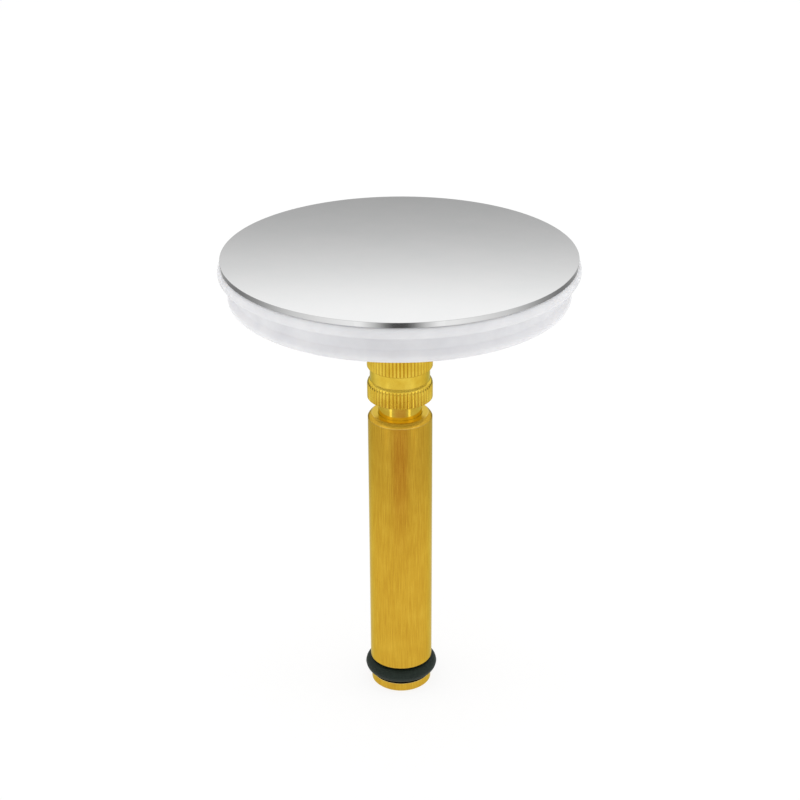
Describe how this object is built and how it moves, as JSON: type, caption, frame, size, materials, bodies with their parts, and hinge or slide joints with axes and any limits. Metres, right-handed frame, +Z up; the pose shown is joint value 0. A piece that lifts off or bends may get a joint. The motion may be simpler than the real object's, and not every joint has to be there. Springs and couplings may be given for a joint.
{
  "type": "drain stopper",
  "caption": "Height-adjustable bath drain stopper: flat chrome cap with a silicone seal on a knurled brass adjuster and a plain brass stem with a rubber ring.",
  "frame": {"origin": "centre of the stem's lower end face, on the stopper's axis", "axes": "+Z up along the stem's axis, from the stem's lower end to the cap; the stopper is round, so X and Y are free"},
  "size_m": [0.073, 0.073, 0.1015],
  "materials": {
    "brass": "turned, fine drawn streaks",
    "black_rubber": "matte",
    "stainless_steel": "plain",
    "white_plastic": "moulded",
    "silicone": "milky translucent silicone",
    "chrome_plate": "mirror chrome on brass"
  },
  "bodies": {
    "stem_body": {"stem": "brass", "stem_o_ring": "black_rubber"},
    "cap_body": {"cap_plate": "chrome_plate", "cap_stud": "brass", "seal": "silicone", "seal_carrier": "white_plastic", "clamp_washer": "stainless_steel", "clamp_nut": "brass", "thrust_washer": "white_plastic"},
    "adjuster_body": {"adjuster": "brass", "snap_ring": "stainless_steel"}
  },
  "joints": [
    {"name": "height_slide", "type": "slide", "parent": "stem_body", "child": "cap_body", "axis": [0, 0, 1], "range_m": [-0.00337, 0.00625]},
    {"name": "adjuster_turn", "type": "hinge", "parent": "cap_body", "child": "adjuster_body", "pos_m": [0, 0, 0.0752], "axis": [0, 0, 1], "range_deg": [-972.1, 1800.1]}
  ],
  "couplings": [
    {"joint": "adjuster_turn", "follows": "height_slide", "rad_per_m": 5026.5}
  ]
}
